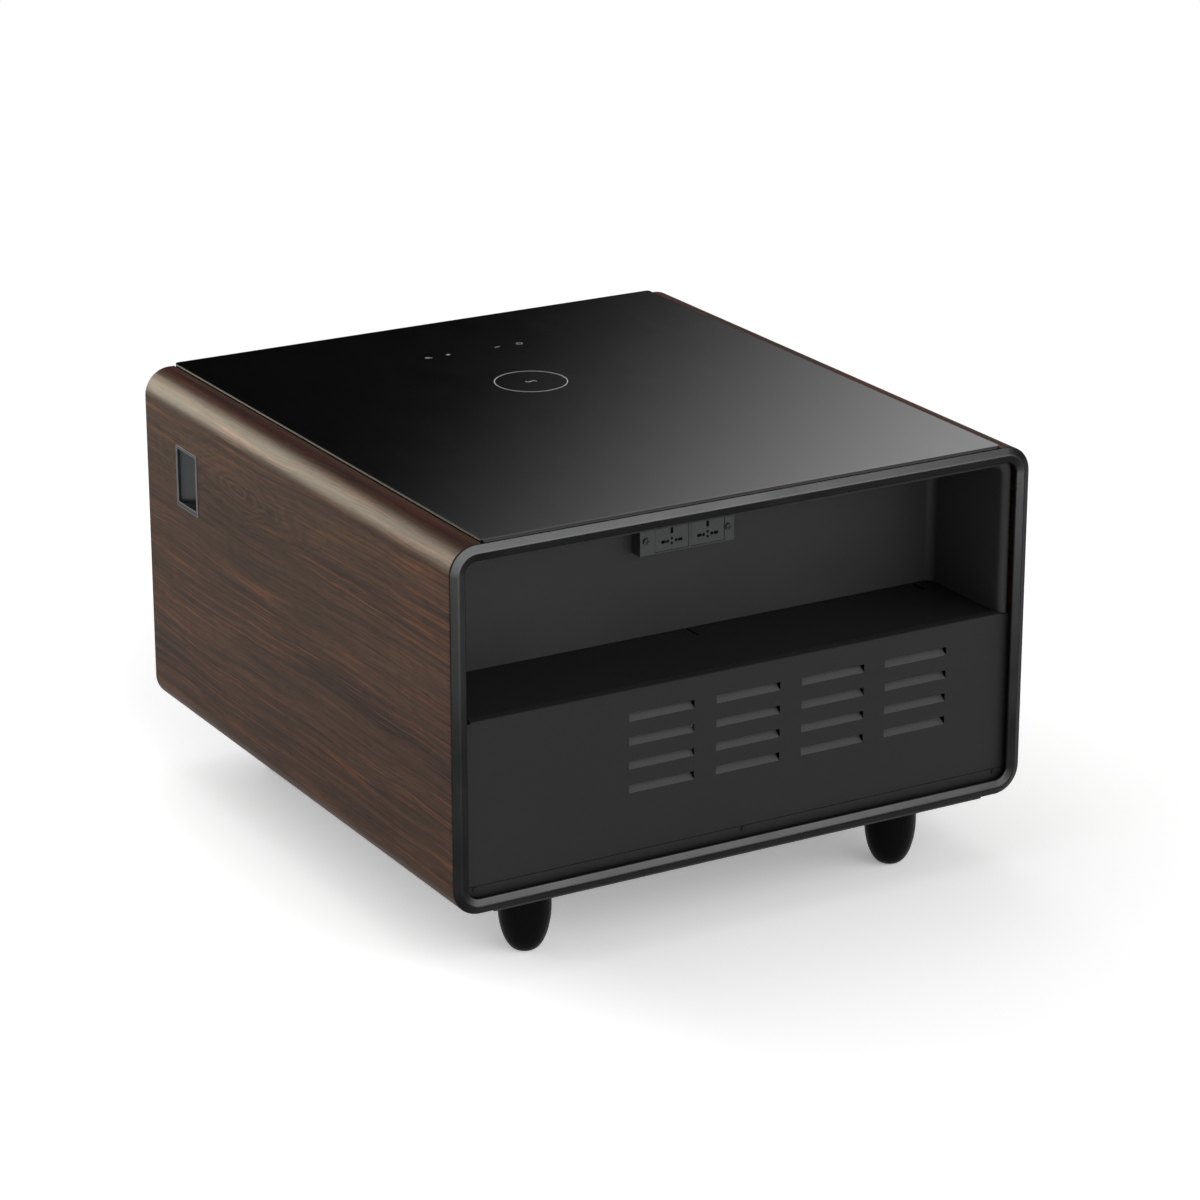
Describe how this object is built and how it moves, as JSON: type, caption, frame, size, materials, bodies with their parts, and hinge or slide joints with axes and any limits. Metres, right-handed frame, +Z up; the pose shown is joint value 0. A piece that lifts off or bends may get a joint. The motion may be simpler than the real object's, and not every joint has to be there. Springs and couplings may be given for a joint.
{
  "type": "refrigerator coffee table",
  "caption": "Low coffee table with a chilled drawer, an open niche with mains sockets over a louvred compressor panel, glass top, wood sides and short dome legs.",
  "frame": {"origin": "on the floor under the middle of the table", "axes": "+Z up, -Y out of the service side with the niche and louvres, +Y out of the drawer front, +X to the right of a viewer who faces the service side"},
  "size_m": [0.6512, 0.68, 0.45],
  "materials": {
    "side_wood": "dark straight-grained veneer, satin",
    "deck_board": "black-stained fibreboard",
    "frame_plastic": "satin black moulding",
    "top_glass": "black back-printed glass, polished",
    "front_glass": "black back-printed glass, polished",
    "copper": "drawn copper",
    "board": "green circuit board",
    "pan_steel": "black powder coat",
    "panel_paint": "charcoal textured powder coat",
    "niche_paint": "charcoal powder coat",
    "shelf_paint": "black powder coat",
    "leg_gloss": "polished black",
    "black_plastic": "fine-textured black moulding",
    "zinc": "zinc plated",
    "satin_alloy": "satin anodised",
    "foam": "foamed-in insulation",
    "white_plastic": "food-safe liner plastic",
    "seal_rubber": "soft magnetic seal",
    "compressor_paint": "gloss black enamel",
    "motor_core": "wound stator and iron core"
  },
  "bodies": {
    "table": {"side_panel_left": "side_wood", "side_panel_right": "side_wood", "rear_frame": "frame_plastic", "glass_top": "top_glass", "top_deck": "deck_board", "charging_coil": "copper", "touch_board": "board", "base_pan": "pan_steel", "leg_rear_left": "leg_gloss", "leg_rear_right": "leg_gloss", "leg_front_left": "leg_gloss", "leg_front_right": "leg_gloss", "cord_gland": "black_plastic", "rear_sill": "panel_paint", "louvre_panel": "panel_paint", "panel_screw_left": "zinc", "panel_screw_middle": "zinc", "panel_screw_right": "zinc", "niche_liner": "niche_paint", "niche_shelf": "shelf_paint", "rear_top_rail": "zinc", "socket_housing": "black_plastic", "socket_left": "black_plastic", "socket_right": "black_plastic", "socket_screw_left": "zinc", "socket_screw_right": "zinc", "grip_cup_left": "black_plastic", "grip_cup_right": "black_plastic", "grip_bezel_left": "satin_alloy", "grip_bezel_right": "satin_alloy", "cabinet_shell": "zinc", "cabinet_foam": "foam", "cabinet_liner": "white_plastic", "evaporator_plate": "satin_alloy", "evaporator_cover": "white_plastic", "runner_outer_left": "zinc", "runner_outer_right": "zinc", "compressor_shell": "compressor_paint", "compressor_motor": "motor_core", "relay_cover": "black_plastic", "condenser": "satin_alloy", "fan_frame": "black_plastic", "discharge_pipe": "copper", "suction_pipe": "copper", "filter_drier": "copper", "control_box": "black_plastic", "control_lid": "black_plastic", "control_board": "board"},
    "drawer": {"drawer_front_panel": "black_plastic", "drawer_glass_face": "front_glass", "drawer_pull": "satin_alloy", "drawer_gasket": "seal_rubber", "drawer_tub": "white_plastic", "drawer_carrier": "zinc", "tub_divider": "white_plastic", "runner_inner_left": "zinc", "runner_inner_right": "zinc"},
    "runner_middle_left": {"runner_middle_left": "zinc"},
    "runner_middle_right": {"runner_middle_right": "zinc"},
    "fan": {"fan_rotor": "black_plastic"}
  },
  "joints": [
    {"name": "drawer_slide", "type": "slide", "parent": "table", "child": "drawer", "axis": [0, 1, 0], "range_m": [0, 0.36]},
    {"name": "runner_left_slide", "type": "slide", "parent": "table", "child": "runner_middle_left", "axis": [0, 1, 0], "range_m": [0, 0.18]},
    {"name": "runner_right_slide", "type": "slide", "parent": "table", "child": "runner_middle_right", "axis": [0, 1, 0], "range_m": [0, 0.18]},
    {"name": "fan_spin", "type": "hinge", "parent": "table", "child": "fan", "pos_m": [0.111, -0.24, 0.1643], "axis": [1, 0, 0], "continuous": true}
  ],
  "couplings": [
    {"joint": "runner_left_slide", "follows": "drawer_slide", "ratio": 0.5},
    {"joint": "runner_right_slide", "follows": "drawer_slide", "ratio": 0.5}
  ]
}
